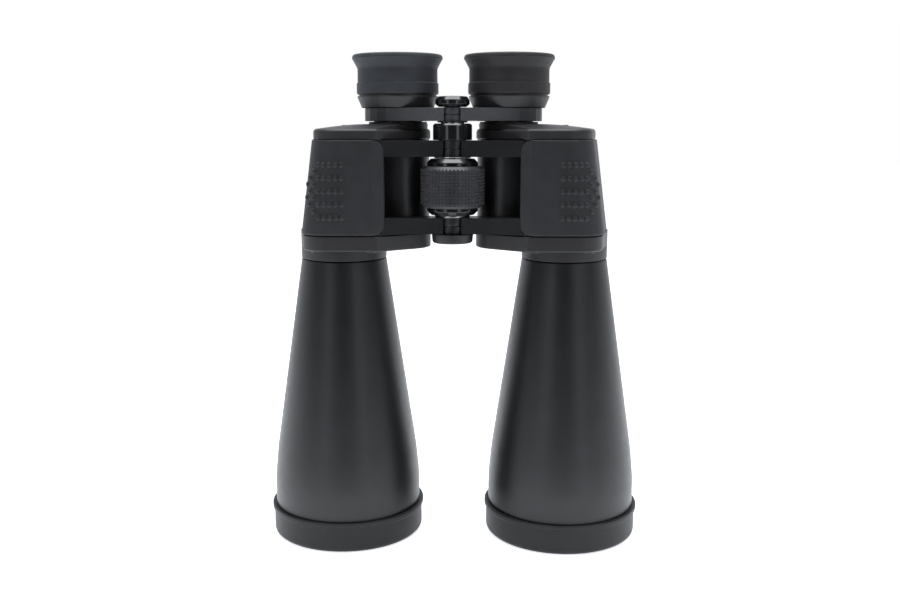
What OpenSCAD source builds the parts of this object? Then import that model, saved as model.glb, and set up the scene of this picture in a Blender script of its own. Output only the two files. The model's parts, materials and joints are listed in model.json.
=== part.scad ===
// Large Porro-prism binoculars for looking at the night sky, standing on their front caps.
// +Z runs from the objectives up to the eyepieces, +X to the user's right hand seen from the
// hinge side, and -Y is the hinge side. The origin is the middle of the footprint.

/* [Layout] */
// Distance between the two objective axes
axis_gap = 129.4; // [128:0.2:131]
// Distance between the two eyepiece axes
eye_gap = 62; // [61:0.5:63]
// How far the eyepiece axes lie ahead of the objective axes
eye_ahead = 17; // [16:0.5:18]
// How far the hinge axis lies ahead of the objective axes
hinge_ahead = 36; // [35.5:0.25:37]

/* [Objective end] */
// Widest outside radius of an objective tube
tube_r = 43.6; // [43:0.1:44.2]
// Outside radius of the tube at its narrow top
tube_top_r = 24.8; // [24:0.1:25.2]
// Height of the tube's narrow top
tube_top = 166; // [164:0.5:167]
// Radius of the objective lenses
lens_r = 36; // [35:0.5:37]
// Outside radius of the lip on a front cap
cap_r = 45.9; // [45.5:0.1:46.5]
// Height of a front cap
cap_h = 18; // [16:0.5:20]

/* [Body] */
// Outer side of the rubber armour at its foot
body_foot_x = 89.4; // [89:0.2:91]
// Outer side of the rubber armour at its top
body_head_x = 82.4; // [81:0.2:84]
// Height of the armour's foot
body_low = 183.2; // [182.8:0.1:183.6]
// Height of the armour's top
body_high = 235.1; // [234.9:0.1:235.3]
// Thickness of the rubber armour
armour_t = 2.6; // [2.2:0.1:3]
// Radius of the nose of the body round the eyepiece axis
nose_r = 18; // [17.8:0.1:18.2]

/* [Hinge and focus] */
// Outside radius of the focus wheel's grip
wheel_r = 17.6; // [17:0.1:17.8]
// Height of the upper arms' lower face
arm_high = 225.8; // [225.5:0.1:226]
// Height of the lower arms' lower face
arm_low = 184.3; // [184:0.1:184.6]
// Depth of every arm along the hinge
arm_h = 8.7; // [8.5:0.1:9]
// Radius of the hinge collar above the arms
collar_r = 10.6; // [10:0.1:11]

/* [Eyepieces] */
// Height of the bridge's lower face
bridge_low = 244.9; // [244.7:0.1:245.3]
// Depth of the bridge arms
bridge_h = 7; // [6.5:0.1:7.2]
// Outside radius of the bridge's rings
bridge_r = 18.4; // [18:0.1:19]
// Outside radius of an eyecup's lip
eyecup_r = 25.2; // [24.5:0.1:25.4]
// Height of the top of the eyecups
eyecup_top = 281; // [279:0.5:282]

/* [Hidden] */
$fn = 72;
UPPER = true;
LOWER = false;
EPS = 0.02;

// Running clearance of a shaft in its bore, and the air gap between moving faces
run_gap = 0.05;
air_gap = 0.4;

// Plan positions. The left half is modelled, and the right half is its mirror image.
obj_y = (hinge_ahead + wheel_r - cap_r) / 2;
objective = [-axis_gap / 2, obj_y];
eye = [-eye_gap / 2, obj_y - eye_ahead];
hinge = [0, obj_y - hinge_ahead];
lug_r = 9;
arm_front = hinge[1] - lug_r - 0.4;
body_front = arm_front - 2.4;
inner_x = -36.7;
front_r = 15;
front_in = 5.2;
back_r = 25.1;
arm_end = 4.9;
arm_back = 7.6;
side_x = inner_x - 1.8;
pocket_r = nose_r - 0.6;
pocket_wall = 1.2;
web_h = 2;

// Prism layout: two right-angle steps of equal length lead from the objective to the eyepiece
prism_step = norm(eye - objective) / sqrt(2);
step_angle = atan2(objective[1] - eye[1], objective[0] - eye[0]) + 45;
elbow = eye + prism_step * [cos(step_angle), sin(step_angle)];
prism_half_w = 9.4;
prism_half_l = 24;
prism_flat = 3;
port_r = 8.8;
shelf_low = 206.8;
shelf_t = 2;

// Heights of the hinge pieces
wheel_low = arm_low + arm_h + 1.2;
wheel_high = arm_high - 0.9;
ring_h = 4.2;
collar_top = bridge_low - 1.4;
axle_r = 6;
pin_r = 4;
spindle_r = 6.4;
sleeve_r = 7.4;
drum_r = 13;
socket_r = 3.175;
socket_depth = 12.7;
bush_r = 8;
bush_low = arm_low - 4.2;
cover_r = 11.45;
cover_h = 5.2;

// Objective end: the tube's rim rests on a ledge inside the cap
tube_foot = 9;
tube_wall = 1.6;
bend_low = 28;
cell_low = 10;
cell_high = bend_low - 0.2;
glass_low = cell_low + 4;
cap_floor = 2.4;

// Body covers, collar and eyepiece guide
collar_low = tube_top + 0.3;
foot_low = 174.6;
cover_inset = 0.8;
wall = 2.2;
neck_r = 22.5;
guide_r = 13.6;
guide_low = 226;
barrel_low = 222;
ring_bore = 15.8;
strap_at = [-66, obj_y + back_r - cover_inset];
strap_bore = 2.2;
stud_foot_r = 1.6;
stud_tip_r = 0.9;
screw_r = 1.4;
screw_boss_r = 3.3;
screw_spots = [[-75, body_front + 9], [-44.5, body_front + 7.4], eye + [9.6, 9.6]];

// Ocular heights
ocular_low = bridge_low + bridge_h + 0.2;
ocular_ring_h = 6.4;
eyecup_low = ocular_low + ocular_ring_h + 1;
ring_neck_r = 21.5;
cell_r = 17.6;
cell_top = 270;
eye_lens_r = 10.5;

// ---- outlines and small shapes ----

// Points on an arc from angle a0 to a1
function arc(centre, r, a0, a1, steps) =
    [for (i = [0:steps]) let (a = a0 + (a1 - a0) * i / steps) centre + r * [cos(a), sin(a)]];

// Inner points of a curve that leaves a towards b and arrives at c
function bend(a, b, c, steps) =
    [for (i = [1:steps - 1]) let (t = i / steps) pow(1 - t, 2) * a + 2 * t * (1 - t) * b + t * t * c];

// Angle of the outward normal of the straight side that joins circle a to circle b
function side_angle(a, b) =
    let (step = b[0] - a[0]) atan2(step[1], step[0]) - acos((a[1] - b[1]) / norm(step));

// Convex outline round a list of [centre, radius] circles given anticlockwise
function round_outline(circles, steps) = let (count = len(circles)) [
    for (i = [0:count - 1]) let (
        here = circles[i],
        from = side_angle(circles[(i + count - 1) % count], here),
        to = side_angle(here, circles[(i + 1) % count]),
        sweep = (to - from) - 360 * floor((to - from) / 360)
    ) each arc(here[0], here[1], from, from + sweep, steps)
];

// Outer side of a body half: k is 0 at the foot and 1 at the head
function outer_side(k) = -(body_foot_x + (body_head_x - body_foot_x) * k);

// Outline of a body half: k is 0 at the foot and 1 at the head, inset moves it inwards
function body_outline(k, inset, nose) = let (
    outer = outer_side(k),
    inner_r = 5.2
) round_outline([
    [[outer + front_r + front_in, body_front + front_r], front_r - inset],
    [[inner_x - inner_r, body_front + inner_r], inner_r - inset],
    [eye, nose],
    [[outer + back_r, obj_y], back_r - inset]
], 6);

module at(spot, z) translate([spot[0], spot[1], z]) children();

module post(spot, r, low, high) at(spot, low) cylinder(r = r, h = high - low);

module spun(spot, points) at(spot, 0) rotate_extrude() polygon(points);

module slab(points, low, high) translate([0, 0, low]) linear_extrude(high - low) polygon(points);

// Body-shaped solid whose outer side leans from the foot to the head
module leaning_body(inset, nose, low, high) {
    foot = body_outline((low - body_low) / (body_high - body_low), inset, nose);
    head = body_outline((high - body_low) / (body_high - body_low), inset, nose);
    count = len(foot);
    polyhedron(
        points = concat([for (p = foot) [p[0], p[1], low]], [for (p = head) [p[0], p[1], high]]),
        faces = concat(
            [[for (i = [0:count - 1]) i]],
            [[for (i = [count - 1:-1:0]) count + i]],
            [for (i = [0:count - 1]) let (j = (i + 1) % count)
                each [[i, count + i, j], [j, count + i, count + j]]]
        )
    );
}

// The left half as drawn, or its mirror image on the right
module half(right) {
    if (right) mirror([1, 0, 0]) children();
    else children();
}

// ---- prism housing and covers ----

// Space in front of the nose that the focus wheel turns in
module wheel_pocket(side_x, r, low, high) difference() {
    translate([side_x, hinge[1] - 40, low]) cube([-side_x, eye[1] - hinge[1] + 40, high - low]);
    post(eye, r, low - 1, high + 1);
}

// Arm bolted to the housing, with its lug: the lug takes the upper or the lower half of the
// arm's depth. A web closes the gap between the arm and the cover over or under it.
module hinge_arm(low, web_low, upper, bore) {
    lug_h = (arm_h - air_gap) / 2;
    lug_low = upper ? low + arm_h - lug_h : low;
    other_low = upper ? low : low + arm_h - lug_h;
    difference() {
        union() {
            difference() {
                translate([side_x, arm_front, low])
                    cube([-side_x - arm_end, arm_back + lug_r + 0.4, arm_h]);
                post(hinge, lug_r + 0.6, other_low - air_gap, other_low + lug_h + air_gap);
            }
            post(hinge, lug_r, lug_low, lug_low + lug_h);
            intersection() {
                slab(body_outline(1, armour_t, nose_r - 0.1), web_low, web_low + web_h);
                translate([side_x, arm_front, web_low - 1]) cube([20, arm_back + lug_r, web_h + 2]);
            }
        }
        post(eye, pocket_r, low - 3, low + arm_h + 3);
        post(hinge, bore, low - 1, low + arm_h + 1);
    }
}

module upper_arm(right) color("#1d1e21") half(right)
    hinge_arm(arm_high, body_high - web_h, !right, sleeve_r + run_gap);

module lower_arm(right) color("#1d1e21") half(right)
    hinge_arm(arm_low, body_low, !right, axle_r + run_gap);

module prism_housing(right) color("#26272b") half(right) difference() {
    leaning_body(armour_t, nose_r, body_low, body_high);
    wheel_pocket(side_x, pocket_r, body_low - 1, body_high + 1);
    difference() {
        leaning_body(armour_t + wall, nose_r - 1.1, body_low - 1, body_high + 1);
        wheel_pocket(side_x - pocket_wall, pocket_r - pocket_wall, body_low - 2, body_high + 2);
        for (spot = screw_spots) post(spot, screw_boss_r, body_low - 2, body_low + 9);
    }
    for (spot = screw_spots) post(spot, screw_r, body_low - 1, body_low + 8);
}

// Rubber sleeve round the outer side, with rows of grip studs
module body_armour(right) color("#2f3032") half(right) {
    difference() {
        leaning_body(0, nose_r + 1, body_low + 0.3, body_high - 0.3);
        leaning_body(armour_t, nose_r, body_low, body_high);
        translate([inner_x, -100, body_low - 1]) cube([100, 200, 100]);
        for (low = [arm_low - 3, arm_high])
            translate([side_x, arm_front, low]) cube([50, 30, arm_h + 3]);
    }
    grip_studs();
}

// Stud rows: five straight columns on the front, then an arrowhead round the outer side
module grip_studs() {
    pitch = 7.1;
    column = 3.3;
    middle = 207.4;
    for (c = [0:4], row = [-2:2]) grip_stud(-59.3 - column * c, middle + pitch * row);
    for (c = [5:7], row = [0:8 - c])
        grip_stud(-59.3 - column * c, middle + pitch * (row - (8 - c) / 2));
}

// Stud on the front face, or on the rounded corner where x is a distance along the surface
module grip_stud(x, z) {
    stud_h = 1;
    corner_x = outer_side((z - body_low) / (body_high - body_low)) + front_r + front_in;
    angle = max(0, corner_x - x) / front_r * 180 / PI;
    translate([max(x, corner_x), body_front + front_r, z]) rotate([90, 0, -angle])
        translate([0, 0, front_r - 1]) cylinder(r1 = stud_foot_r, r2 = stud_tip_r, h = 1 + stud_h);
}

module top_cover(right) color("#2c2d2f") half(right) {
    rim_high = body_high + 4.8;
    dome_low = rim_high + 1;
    dome_high = bridge_low - 0.7;
    roof = rim_high - 1.4;
    guide_out = guide_r + 1.6;
    difference() {
        union() {
            hull() {
                slab(body_outline(1, cover_inset, nose_r + 0.1), body_high, rim_high);
                slab(body_outline(1, cover_inset + 1, nose_r - 0.8), rim_high, dome_low);
                post(eye, nose_r - 1, dome_low, dome_high);
            }
            post(eye, nose_r - 1.6, dome_low, bridge_low - 0.4);
            post(eye, guide_out, guide_low, body_high + EPS);
            strap_eye();
        }
        difference() {
            slab(body_outline(1, cover_inset + wall, nose_r - 1.7), body_high - EPS, roof);
            post(eye, guide_out, guide_low - 1, roof + 1);
        }
        post(eye, guide_r + run_gap, guide_low - 1, bridge_low + 1);
    }
}

// Eye for the neck strap on the back of the top cover
module strap_eye() difference() {
    translate([strap_at[0] - 1.75, strap_at[1] - 3, body_high]) cube([3.5, 10, 8]);
    translate([strap_at[0], strap_at[1] + 3.4, body_high + 4]) rotate([0, 90, 0])
        cylinder(r = strap_bore, h = 10, center = true);
}

module bottom_cover(right) color("#2a2b2d") half(right) {
    difference() {
        union() {
            slab(body_outline(0, cover_inset, nose_r + 0.1), foot_low, body_low);
            post(objective, tube_top_r + 0.1, collar_low, foot_low + EPS);
        }
        difference() {
            slab(body_outline(0, cover_inset + wall, nose_r - 1.7), foot_low + wall, body_low + 1);
            for (spot = screw_spots) post(spot, screw_boss_r, foot_low, body_low + 1);
        }
        post(objective, neck_r, collar_low - 1, body_low + 1);
        for (spot = screw_spots) post(spot, screw_r, foot_low - 1, body_low + 1);
    }
}

module cover_screws(right) color("#3a3b3d") half(right) for (spot = screw_spots) {
    post(spot, screw_r, foot_low, body_low + 7);
    difference() {
        post(spot, 2.7, foot_low - 1, foot_low);
        at(spot, foot_low - 1.1) translate([-2, -0.35, 0]) cube([4, 0.7, 0.7]);
    }
}

// ---- objective end ----

module objective_tube(right) color("#26272b") half(right) {
    bend_high = 52;
    slope = 0.149;
    bend_r = tube_top_r + slope * (tube_top - bend_high);
    outside = concat(
        [[tube_r, tube_foot], [tube_r, bend_low]],
        bend([tube_r, bend_low], [tube_r, bend_high - (tube_r - bend_r) / slope], [bend_r, bend_high], 6),
        [[bend_r, bend_high], [tube_top_r, tube_top], [neck_r, tube_top], [neck_r, foot_low + 1]]
    );
    inside = [
        [neck_r - 1.6, foot_low + 1], [neck_r - 1.6, tube_top - 1], [bend_r - tube_wall, bend_high],
        [tube_r - tube_wall, bend_low], [tube_r - tube_wall, tube_foot]
    ];
    spun(objective, concat(outside, inside));
}

module objective_cell(right) color("#1d1d1f") half(right) spun(objective, [
    [lens_r - 1.2, cell_low], [tube_r - tube_wall, cell_low], [tube_r - tube_wall, cell_high],
    [lens_r, cell_high], [lens_r, glass_low], [lens_r - 1.2, glass_low]
]);

// Radius of a lens face that is depth deep at the rim
function face_r(rim, depth) = (rim * rim + depth * depth) / (2 * depth);

// Points on a lens face from the axis to the rim; a positive depth curves the rim upwards
function lens_face(rim, depth, z, steps) = let (r = face_r(rim, abs(depth))) [
    for (i = [0:steps]) let (x = rim * i / steps)
        [x, z + sign(depth) * (r - sqrt(r * r - x * x))]
];

function back_to_front(points) = [for (i = [len(points) - 1:-1:0]) points[i]];

module front_lens(right) color("#8fb4c8") half(right) spun(objective, concat(
    lens_face(lens_r, 2.2, glass_low - 2, 10),
    back_to_front(lens_face(lens_r, -2.6, glass_low + 7.6, 10))
));

module rear_lens(right) color("#8fb4c8") half(right) spun(objective, concat(
    lens_face(lens_r, -2.6, glass_low + 7.7, 10),
    back_to_front(lens_face(lens_r, 0.4, glass_low + 10.4, 10))
));

module lens_retainer(right) color("#1d1d1f") half(right) spun(objective, [
    [lens_r - 2.4, glass_low + 10.8], [lens_r, glass_low + 10.8],
    [lens_r, glass_low + 13.4], [lens_r - 2.4, glass_low + 13.4]
]);

// Push-on front cap: the tube's rim rests on the ledge inside it
module objective_cap(right) color("#303136") half(right) {
    fit_r = tube_r + 0.1;
    side_r = cap_r - 1;
    corner = 3;
    spun(objective, concat(
        [[0, 0.8], [30, 0.8], [31, 0]],
        arc([side_r - corner - 0.5, corner], corner, -90, 0, 5),
        [[side_r, cap_h - 3.4], [cap_r, cap_h - 2.6], [cap_r, cap_h - 0.6], [cap_r - 0.6, cap_h],
         [fit_r, cap_h], [fit_r, tube_foot], [tube_r - 3, tube_foot], [tube_r - 3, cap_floor],
         [0, cap_floor]]
    ));
}

// ---- prisms ----

module on_line(from, to) at((from + to) / 2, 0)
    rotate([0, 0, atan2(to[1] - from[1], to[0] - from[0])]) children();

// Right-angle prism with its long face at height z, pointing up or down
module prism(from, to, z, up) on_line(from, to) translate([0, prism_half_w, z]) rotate([90, 0, 0])
    linear_extrude(2 * prism_half_w) polygon(let (s = up ? 1 : -1) [
        [-prism_half_l, 0], [prism_half_l, 0], [prism_half_l, s * 1.5],
        [prism_flat, s * (prism_half_l - prism_flat + 1.5)],
        [-prism_flat, s * (prism_half_l - prism_flat + 1.5)], [-prism_half_l, s * 1.5]
    ]);

module upper_prism(right) color("#9fc3b8") half(right)
    prism(elbow, objective, shelf_low + shelf_t, UPPER);

module lower_prism(right) color("#9fc3b8") half(right)
    prism(elbow, eye, shelf_low, LOWER);

module prism_shelf(right) color("#707276") half(right) difference() {
    intersection() {
        leaning_body(armour_t + wall + 0.1, nose_r - 1.2, body_low - 1, body_high + 1);
        translate([-100, -100, shelf_low]) cube([100, 200, shelf_t]);
    }
    wheel_pocket(side_x - pocket_wall - 0.1, pocket_r - pocket_wall - 0.1,
                 shelf_low - 1, shelf_low + shelf_t + 1);
    for (spot = [eye, elbow, objective]) post(spot, port_r, shelf_low - 1, shelf_low + shelf_t + 1);
}

// Spring strap over the ridge of a prism, with both feet on the shelf
module prism_clip(from, to, z, up) {
    strap_w = 7;
    strap_t = 0.8;
    ridge = prism_half_l - prism_flat + 1.5;
    on_line(from, to) translate([0, 0, z]) mirror([0, 0, up ? 0 : 1]) difference() {
        translate([-strap_w / 2, -prism_half_w - strap_t, 0])
            cube([strap_w, 2 * (prism_half_w + strap_t), ridge + strap_t]);
        translate([-strap_w, -prism_half_w, -1]) cube([2 * strap_w, 2 * prism_half_w, ridge + 1]);
    }
}

module prism_clips(right) color("#a8aaac") half(right) {
    prism_clip(elbow, objective, shelf_low + shelf_t, UPPER);
    prism_clip(elbow, eye, shelf_low, LOWER);
}

// ---- hinge and focus ----

// Lower pin, inner pin and the threaded bush for a tripod adapter, in one piece
module hinge_axle() color("#8c8f94") difference() {
    union() {
        post(hinge, bush_r, bush_low, arm_low - 0.1);
        post(hinge, axle_r, arm_low - 0.2, wheel_low - 0.2);
        post(hinge, pin_r, wheel_low - 0.3, collar_top - 2);
    }
    post(hinge, socket_r, bush_low - 1, bush_low + socket_depth);
}

// Visible collar with the sleeve that the upper lugs turn on
module hinge_collar() color("#1b1b1d") spun(hinge, [
    [spindle_r + run_gap, wheel_high + 0.2], [sleeve_r, wheel_high + 0.2],
    [sleeve_r, arm_high + arm_h + 0.2], [collar_r, arm_high + arm_h + 0.2],
    [collar_r, collar_top - 0.8], [collar_r - 0.8, collar_top],
    [spindle_r + run_gap, collar_top]
]);

module hinge_washers() color("#9a9c9f") {
    difference() {
        post(hinge, 9.5, arm_low + arm_h + 0.2, wheel_low - 0.2);
        post(hinge, axle_r, arm_low, wheel_low);
    }
    difference() {
        post(hinge, 10, wheel_high + 0.2, arm_high - 0.2);
        post(hinge, sleeve_r, wheel_high, arm_high);
    }
}

module focus_wheel_hub() color("#1f2022") spun(hinge, [
    [spindle_r + run_gap, wheel_low], [drum_r - 0.6, wheel_low], [drum_r + 0.9, wheel_low + 1.5],
    [drum_r + 0.9, wheel_low + ring_h], [drum_r, wheel_low + ring_h],
    [drum_r, wheel_high - ring_h], [drum_r + 0.9, wheel_high - ring_h],
    [drum_r + 0.9, wheel_high - 1.5], [drum_r - 0.6, wheel_high],
    [spindle_r + run_gap, wheel_high]
]);

module focus_wheel_grip() color("#2b2c2e") spun(hinge, [
    [drum_r, wheel_low + ring_h], [wheel_r - 1.6, wheel_low + ring_h],
    [wheel_r, wheel_low + ring_h + 1.6], [wheel_r, wheel_high - ring_h - 1.6],
    [wheel_r - 1.6, wheel_high - ring_h], [drum_r, wheel_high - ring_h]
]);

// Hollow focusing screw: rides inside the wheel and carries the bridge
module focus_spindle() color("#8c8f94") difference() {
    post(hinge, spindle_r, wheel_low + 3.5, bridge_low);
    post(hinge, pin_r + run_gap, wheel_low, collar_top - 0.6);
}

module bridge_boss() color("#1d1d1f") {
    post(hinge, 4.5, bridge_low, bridge_low + bridge_h + 0.4);
    difference() {
        post(hinge, 8.2, bridge_low - 0.9, bridge_low);
        post(hinge, spindle_r, bridge_low - 2, bridge_low + EPS);
    }
}

module bridge_cap() color("#1b1b1d") {
    rim_r = 9.3;
    low = bridge_low + bridge_h + 0.4;
    spun(hinge, concat(
        [[0, low], [rim_r - 1.8, low], [rim_r, low + 1.4], [rim_r, low + 3.4]],
        bend([rim_r, low + 3.4], [rim_r - 0.5, low + 5.4], [rim_r - 2, low + 5.6], 4),
        [[rim_r - 2, low + 5.6], [0, low + 6]]
    ));
}

// Cup-shaped cover that screws over the outside of the tripod bush
module tripod_socket_cover() color("#232326") {
    low = arm_low - 0.3 - cover_h;
    high = arm_low - 0.3;
    spun(hinge, [
        [0, low], [cover_r - 2, low], [cover_r - 0.6, low + 0.6], [cover_r, low + 2],
        [cover_r, high], [bush_r + run_gap, high], [bush_r + run_gap, low + 1], [0, low + 1]
    ]);
}

// ---- eyepieces ----

// Ring round an eyepiece with its arm to the bridge's middle
module bridge_arm(right) color("#343537") half(right) {
    lug_h = (bridge_h - air_gap) / 2;
    lug_low = right ? bridge_low : bridge_low + bridge_h - lug_h;
    other_low = right ? bridge_low + bridge_h - lug_h : bridge_low;
    difference() {
        union() {
            difference() {
                slab(round_outline([[eye, bridge_r], [hinge, lug_r]], 12),
                     bridge_low, bridge_low + bridge_h);
                translate([-4.4, -100, bridge_low - 1]) cube([50, 200, bridge_h + 2]);
                post(hinge, lug_r - 0.6, other_low - air_gap, other_low + lug_h + air_gap);
            }
            post(hinge, lug_r - 1.2, lug_low, lug_low + lug_h);
        }
        post(hinge, 4.5 + run_gap, bridge_low - 1, bridge_low + bridge_h + 1);
        post(eye, ring_bore, bridge_low - 1, bridge_low + bridge_h + 1);
    }
}

module eyepiece_barrel(right) color("#1d1d1f") half(right) spun(eye, [
    [guide_r - 1.4, barrel_low], [guide_r, barrel_low], [guide_r, bridge_low],
    [ring_bore, bridge_low], [ring_bore, ocular_low], [guide_r - 1.4, ocular_low]
]);

module field_lens(right) color("#8fb4c8") half(right) spun(eye, concat(
    lens_face(guide_r - 1.4, 1.6, 226, 6),
    back_to_front(lens_face(guide_r - 1.4, -1.6, 232, 6))
));

module field_stop(right) color("#1d1d1f") half(right) difference() {
    post(eye, guide_r - 1.4, 240, 241);
    post(eye, 9, 239, 242);
}

// Turning diopter ring on the right, and its fixed twin on the left
module ocular_ring(right) color("#37383b") half(right) spun(eye, [
    [cell_r + 0.1, ocular_low], [20.2, ocular_low], [22.2, ocular_low + ocular_ring_h - 1.2],
    [22.4, ocular_low + ocular_ring_h - 0.9], [22.4, ocular_low + ocular_ring_h],
    [ring_neck_r, ocular_low + ocular_ring_h], [ring_neck_r, eyecup_low - 0.1],
    [cell_r + 0.1, eyecup_low - 0.1]
]);

module eyepiece_cell(right) color("#1d1d1f") half(right) spun(eye, [
    [guide_r - 1.4, ocular_low + 1.3], [cell_r, ocular_low + 1.3], [cell_r, cell_top - 1],
    [cell_r - 1, cell_top], [13, cell_top], [eye_lens_r, cell_top - 3],
    [eye_lens_r, cell_top - 9], [guide_r - 1.4, cell_top - 11]
]);

module eye_lens(right) color("#8fb4c8") half(right) spun(eye, concat(
    lens_face(eye_lens_r, 1.2, cell_top - 9.6, 6),
    back_to_front(lens_face(eye_lens_r, -1, cell_top - 3, 6))
));

// Rubber eyecup with a rolled lip
module eyecup(right) color("#37383b") half(right) {
    lip_low = eyecup_top - 3.4;
    spun(eye, concat(
        [[cell_r + 0.02, eyecup_low + 1], [ring_neck_r + 0.2, eyecup_low + 1],
         [ring_neck_r + 0.2, eyecup_low], [22.4, eyecup_low], [22.8, eyecup_low + 0.6],
         [22.8, eyecup_low + 5], [22.2, eyecup_low + 5.4], [22.2, eyecup_low + 12]],
        bend([22.2, eyecup_low + 12], [22.5, lip_low - 0.6], [eyecup_r, lip_low + 0.6], 4),
        arc([eyecup_r - 1.4, eyecup_top - 1.4], 1.4, 0, 90, 4),
        bend([eyecup_r - 1.4, eyecup_top], [19.4, eyecup_top], [18.8, cell_top + 4], 4),
        [[18.8, cell_top + 4], [16, cell_top + 0.4], [14.5, cell_top + 0.05],
         [cell_r - 1, cell_top + 0.05], [cell_r + 0.02, cell_top - 1]]
    ));
}

hinge_axle();
hinge_collar();
hinge_washers();
tripod_socket_cover();
focus_wheel_hub();
focus_wheel_grip();
focus_spindle();
bridge_boss();
bridge_cap();

prism_housing(false);  // left_prism_housing
upper_arm(false);  // left_upper_arm
lower_arm(false);  // left_lower_arm
body_armour(false);  // left_body_armour
top_cover(false);  // left_top_cover
bottom_cover(false);  // left_bottom_cover
cover_screws(false);  // left_cover_screws
objective_tube(false);  // left_objective_tube
objective_cell(false);  // left_objective_cell
front_lens(false);  // left_front_lens
rear_lens(false);  // left_rear_lens
lens_retainer(false);  // left_lens_retainer
prism_shelf(false);  // left_prism_shelf
upper_prism(false);  // left_upper_prism
lower_prism(false);  // left_lower_prism
prism_clips(false);  // left_prism_clips
objective_cap(false);  // left_objective_cap
bridge_arm(false);  // left_bridge_arm
eyepiece_barrel(false);  // left_eyepiece_barrel
field_lens(false);  // left_field_lens
field_stop(false);  // left_field_stop
ocular_ring(false);  // left_ocular_ring
eyepiece_cell(false);  // left_eyepiece_cell
eye_lens(false);  // left_eye_lens
eyecup(false);  // left_eyecup

prism_housing(true);  // right_prism_housing
upper_arm(true);  // right_upper_arm
lower_arm(true);  // right_lower_arm
body_armour(true);  // right_body_armour
top_cover(true);  // right_top_cover
bottom_cover(true);  // right_bottom_cover
cover_screws(true);  // right_cover_screws
objective_tube(true);  // right_objective_tube
objective_cell(true);  // right_objective_cell
front_lens(true);  // right_front_lens
rear_lens(true);  // right_rear_lens
lens_retainer(true);  // right_lens_retainer
prism_shelf(true);  // right_prism_shelf
upper_prism(true);  // right_upper_prism
lower_prism(true);  // right_lower_prism
prism_clips(true);  // right_prism_clips
objective_cap(true);  // right_objective_cap
bridge_arm(true);  // right_bridge_arm
eyepiece_barrel(true);  // right_eyepiece_barrel
field_lens(true);  // right_field_lens
field_stop(true);  // right_field_stop
ocular_ring(true);  // right_diopter_ring
eyepiece_cell(true);  // right_eyepiece_cell
eye_lens(true);  // right_eye_lens
eyecup(true);  // right_eyecup
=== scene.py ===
import json
import math

import bmesh
import bpy
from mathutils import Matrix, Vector

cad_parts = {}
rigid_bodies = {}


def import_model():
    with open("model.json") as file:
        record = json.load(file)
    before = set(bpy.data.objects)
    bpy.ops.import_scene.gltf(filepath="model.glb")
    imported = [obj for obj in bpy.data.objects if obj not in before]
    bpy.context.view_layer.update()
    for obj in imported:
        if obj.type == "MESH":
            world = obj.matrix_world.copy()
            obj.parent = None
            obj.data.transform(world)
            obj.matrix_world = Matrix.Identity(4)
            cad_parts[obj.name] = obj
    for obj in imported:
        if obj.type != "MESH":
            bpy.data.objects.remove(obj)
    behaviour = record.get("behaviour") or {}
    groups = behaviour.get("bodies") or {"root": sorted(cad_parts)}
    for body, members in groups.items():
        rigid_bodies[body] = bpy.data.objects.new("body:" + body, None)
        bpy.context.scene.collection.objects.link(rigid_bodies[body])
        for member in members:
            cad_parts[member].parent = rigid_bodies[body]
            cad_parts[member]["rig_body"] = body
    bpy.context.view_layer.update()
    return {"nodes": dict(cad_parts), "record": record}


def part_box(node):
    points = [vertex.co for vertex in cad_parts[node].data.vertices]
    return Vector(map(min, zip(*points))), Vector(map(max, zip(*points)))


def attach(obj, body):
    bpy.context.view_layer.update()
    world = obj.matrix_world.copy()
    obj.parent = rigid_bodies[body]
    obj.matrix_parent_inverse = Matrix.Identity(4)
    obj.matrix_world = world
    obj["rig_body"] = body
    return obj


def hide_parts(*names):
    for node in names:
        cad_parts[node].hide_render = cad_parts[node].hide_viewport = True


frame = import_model()

MM = 0.001
LEFT = "left"
RIGHT = "right"
SIDES = (LEFT, RIGHT)

node_slot = {part["node"]: part["material_slot"] for part in frame["record"]["subparts"]}


def low(node):
    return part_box(node)[0] / MM


def high(node):
    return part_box(node)[1] / MM


def middle(node):
    return (low(node) + high(node)) / 2


def radius(node):
    """Half the width of a round node."""
    return (high(node).x - low(node).x) / 2


# ---- places and sizes, worked out from the CAD nodes ----

objective = middle("left_objective_cap").xy
eye = middle("left_eyecup").xy
hinge = middle("hinge_collar").xy

STUD_H = 1.0  # height of a grip stud
COVER_INSET = 0.8  # how far the covers lie inside the armour
ARMOUR_T = 2.6  # thickness of the armour
WALL = 2.2  # wall of the housing and of the covers
FRONT_R = 15.0  # corner between the front and the outer side
FRONT_IN = 5.2  # how far that corner is set in from the outer side
ARM_H = 8.7  # height of a hinge arm
POCKET_WALL = 1.2  # wall behind the pocket that the wheel turns in
BACK_R = 25.1  # corner between the outer side and the back
INNER_R = 5.2  # corner of the covers on the hinge side
SPINDLE_BORE = 6.45  # radius of the bores round the focus spindle

body_low = low("left_prism_housing").z
body_high = high("left_prism_housing").z
body_front = low("left_body_armour").y + STUD_H
foot_x = low("left_body_armour").x
head_x = low("left_top_cover").x - COVER_INSET
wall_x = low("left_upper_arm").x
inner_x = high("left_body_armour").x
nose_r = high("left_bottom_cover").x - eye.x - 0.1


# ---- outlines ----


def turn(degrees):
    return Vector((math.cos(math.radians(degrees)), math.sin(math.radians(degrees))))


def arc(centre, r, start, end, steps):
    """Points on an arc, with the angle of the outward normal at each."""
    angles = [start + (end - start) * i / steps for i in range(steps + 1)]
    return [(Vector(centre) + r * turn(a), a) for a in angles]


def side_angle(a, b):
    """Angle of the outward normal of the straight side that joins circle a to circle b."""
    step = Vector(b[0]) - Vector(a[0])
    lean = math.acos((a[1] - b[1]) / step.length)
    return math.degrees(math.atan2(step.y, step.x) - lean)


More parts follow.
